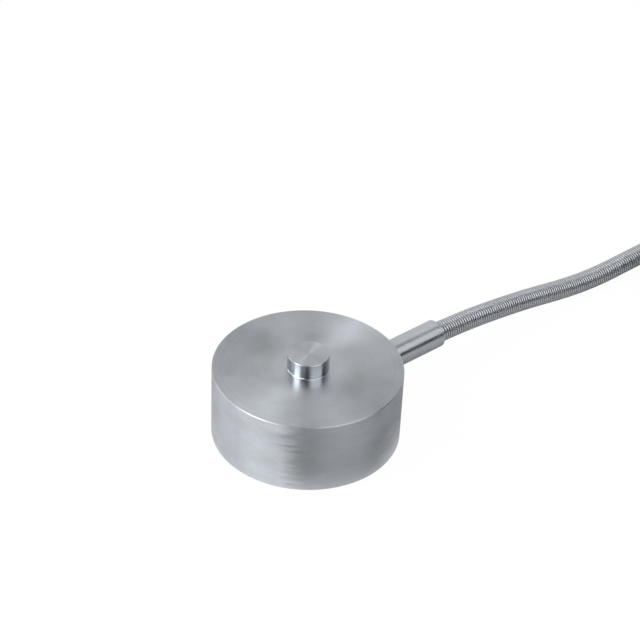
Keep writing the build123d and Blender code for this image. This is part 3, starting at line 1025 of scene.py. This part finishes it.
# %% [markdown]
# A strain gauge is an amber film with a metal foil on it, folded to and fro. The folds are a wave
# with hard edges, turned by half a quarter turn because the gauges lie slantwise.

# %% Finish of the strain gauges
gauge_finish, tree, shader = new_material("gauge_foil", (0.4, 0.2, 0.05), 0.3)
place = object_place(tree, turn=(0.0, 0.0, quarter_turn / 2))
foil = add_node(
    tree, "ShaderNodeTexWave", {"Vector": place, "Scale": 800.0}, bands_direction="X"
)
film = noise(tree, place, 900.0, 3.0)
fold = spread(tree, foil.outputs["Fac"], 0.45, 0.55)
feed(
    tree,
    shader,
    {
        "Base Color": mix_colours(tree, fold, (0.38, 0.19, 0.05), (0.55, 0.47, 0.36)),
        "Roughness": spread(tree, film, 0.3, 0.7, 0.22, 0.4),
        "Normal": relief(tree, fold, 0.01 * mm),
    },
)
for number in gauge_numbers:
    nodes["strain_gauge_" + str(number)].data.materials[0] = gauge_finish
print("gauge material has", len(tree.nodes), "nodes")

# %% [markdown]
# The trimming resistors are small black chips, so the recipe for plastics serves them too, with a
# finer grain.

# %% Finish of the resistors
resistor_numbers = range(1, 4)
resistor_body = plastic("resistor_body", (0.016, 0.016, 0.018), 0.35, 0.2, 0.01)
for number in resistor_numbers:
    nodes["trim_resistor_" + str(number)].data.materials[0] = resistor_body
print(len(resistor_numbers), "resistors are finished")

# %% [markdown]
# ## Floor, light and background
# Plain soft studio light on a pale floor. The floor is one large square, and it is not part of
# the object.

# %% Floor
floor_mesh = bpy.data.meshes.new("floor")
floor_shape = bmesh.new()
bmesh.ops.create_grid(floor_shape, x_segments=1, y_segments=1, size=3.0)
floor_shape.to_mesh(floor_mesh)
floor_shape.free()
floor = bpy.data.objects.new("floor", floor_mesh)
bpy.context.scene.collection.objects.link(floor)
floor_material, tree, floor_shader = new_material("floor", (0.62, 0.62, 0.63), 0.9)
floor_mesh.materials.append(floor_material)
print("floor spans", round(floor.dimensions.x, 1), "m")

# %% [markdown]
# The upright wall of the body mirrors the floor in front of it. On the real wall a dark blotch
# lies above a pale foot, as from a dark band that lay a little way in front of the cell. So in
# reflections only, this floor is pale right beside the body, has that band further out, and has
# its own grey elsewhere. The band is darkest on the left and fades out on the right.


# %% Places on the floor
def reach_towards(tree, place, direction):
    """How far a place lies towards this direction."""
    return add_node(
        tree, "ShaderNodeVectorMath", {0: place, 1: direction}, operation="DOT_PRODUCT"
    ).outputs["Value"]


floor_place = add_node(tree, "ShaderNodeTexCoord").outputs["Object"]
from_load_axis = add_node(
    tree, "ShaderNodeVectorMath", {0: floor_place}, operation="LENGTH"
).outputs["Value"]
in_front = reach_towards(tree, floor_place, (-0.08, -1.0, 0.0))
to_the_left = reach_towards(tree, floor_place, (-1.0, 0.0, 0.0))
print("nodes for places on the floor:", len(tree.nodes))

# %% Pale floor beside the body
pale_full_to = 27 * mm
pale_ends_at = 33 * mm
side_ends_at = 10 * mm
front_begins_at = 22 * mm
pale_foot = product(
    tree,
    spread(tree, from_load_axis, pale_full_to, pale_ends_at, 1.0, 0.0),
    spread(tree, in_front, side_ends_at, front_begins_at, 0.45, 0.9),
)
print("pale floor ends", round(pale_ends_at / mm), "mm from the load axis")

# %% Dark band in front of the body
band_begins_at = 23 * mm
band_full_from = 28 * mm
band_full_to = 36 * mm
band_ends_at = 45 * mm
left_full_to = 42 * mm
left_end = 48 * mm
right_full_to = -20 * mm
right_end = -36 * mm
darker_from = 16 * mm
darkest_from = 32 * mm
off_the_body_from = 32 * mm
off_the_body_by = 42 * mm
darkness_everywhere = 0.32
darkness_added_left = 0.65
darkness = math_node(
    tree,
    "ADD",
    product(
        tree,
        spread(tree, to_the_left, darker_from, darkest_from, 0.0, darkness_added_left),
        spread(tree, from_load_axis, off_the_body_from, off_the_body_by),
    ),
    darkness_everywhere,
)
dark_band = product(
    tree,
    spread(tree, in_front, band_begins_at, band_full_from),
    spread(tree, in_front, band_full_to, band_ends_at, 1.0, 0.0),
    spread(tree, to_the_left, left_full_to, left_end, 1.0, 0.0),
    spread(tree, to_the_left, right_end, right_full_to),
    darkness,
)
print("nodes for the mirrored floor:", len(tree.nodes))

# %% [markdown]
# The camera sees the floor white, but a small share of its shaded surface is mixed in, so the
# soft shadow stays. Light that is neither seen nor mirrored meets the plain grey floor.

# %% Finish of the floor
shaded_share = 0.06
white = add_node(tree, "ShaderNodeEmission", {"Color": (1, 1, 1, 1), "Strength": 1.03})
black = add_node(tree, "ShaderNodeEmission", {"Color": (0, 0, 0, 1), "Strength": 0.0})
light_path = add_node(tree, "ShaderNodeLightPath")
reflected = math_node(
    tree,
    "MAXIMUM",
    light_path.outputs["Is Glossy Ray"],
    light_path.outputs["Is Transmission Ray"],
)
shown_white = math_node(
    tree,
    "MAXIMUM",
    product(tree, light_path.outputs["Is Camera Ray"], 1 - shaded_share),
    product(tree, reflected, pale_foot),
)
whitened = add_node(
    tree,
    "ShaderNodeMixShader",
    {0: shown_white, 1: floor_shader.outputs["BSDF"], 2: white.outputs["Emission"]},
)
banded = add_node(
    tree,
    "ShaderNodeMixShader",
    {0: product(tree, dark_band, reflected), 1: whitened.outputs[0], 2: black.outputs["Emission"]},
)
tree.links.new(banded.outputs[0], tree.nodes["Material Output"].inputs["Surface"])
print("floor material has", len(tree.nodes), "nodes")

# %% [markdown]
# Turned steel shows each lamp as a fan or a band, so the six lamps stand where the photograph's
# steel shows light: the key lamp and a low one to the left of the camera, a high one and a wide
# low one further round on the left, a large one on the right, and one overhead.


# %% Lamps
lamp_distance = 1.15


def soft_lamp(name, direction, height_angle, width, height, power):
    """A soft rectangular lamp that looks at the middle of the scene from this direction."""
    data = bpy.data.lights.new(name, "AREA")
    data.shape = "RECTANGLE"
    data.size = width
    data.size_y = height
    data.energy = power
    lamp = bpy.data.objects.new(name, data)
    turned, raised = math.radians(direction), math.radians(height_angle)
    flat = math.cos(raised)
    towards = Vector((flat * math.cos(turned), flat * math.sin(turned), math.sin(raised)))
    lamp.location = towards * lamp_distance
    lamp.rotation_euler = (-towards).to_track_quat("-Z", "Y").to_euler()
    bpy.context.scene.collection.objects.link(lamp)


soft_lamp("key_lamp", 171, 24, 0.6, 0.85, 8.2)
soft_lamp("low_lamp", 203, 9, 0.45, 0.3, 2.7)
soft_lamp("high_lamp", 142, 59, 0.6, 0.6, 2.7)
soft_lamp("back_left_lamp", 132, 9, 0.8, 0.34, 3.0)
soft_lamp("right_lamp", 278, 48, 1.05, 0.9, 5.6)
soft_lamp("top_lamp", 48, 80, 0.8, 0.8, 0.9)
print("lamps:", len(bpy.data.lights))

# %% [markdown]
# The surround is pale behind the object and dark on the camera's side, which gives the steel its
# darker stretches. The camera itself sees it white.

# %% Surround
world = bpy.data.worlds.new("world")
bpy.context.scene.world = world
world.use_nodes = True
tree = world.node_tree
background = tree.nodes["Background"]
background.inputs["Strength"].default_value = 1.0
direction = add_node(tree, "ShaderNodeTexCoord").outputs["Generated"]
behind = reach_towards(tree, direction, (0.6, 0.8, 0.0))
palest = 0.76
palest_beyond = 0.75
level = spread(tree, behind, 0.0, palest_beyond, 0.0, palest)
sky_tone = add_node(tree, "ShaderNodeCombineColor", {"Red": level, "Green": level, "Blue": level})
light_path = add_node(tree, "ShaderNodeLightPath")
white_or_tone = mix_colours(
    tree, light_path.outputs["Is Camera Ray"], sky_tone.outputs["Color"], (1.0, 1.0, 1.0)
)
tree.links.new(white_or_tone, background.inputs["Color"])
bpy.context.scene.view_settings.view_transform = "Standard"
print("nodes for the surround:", len(tree.nodes))
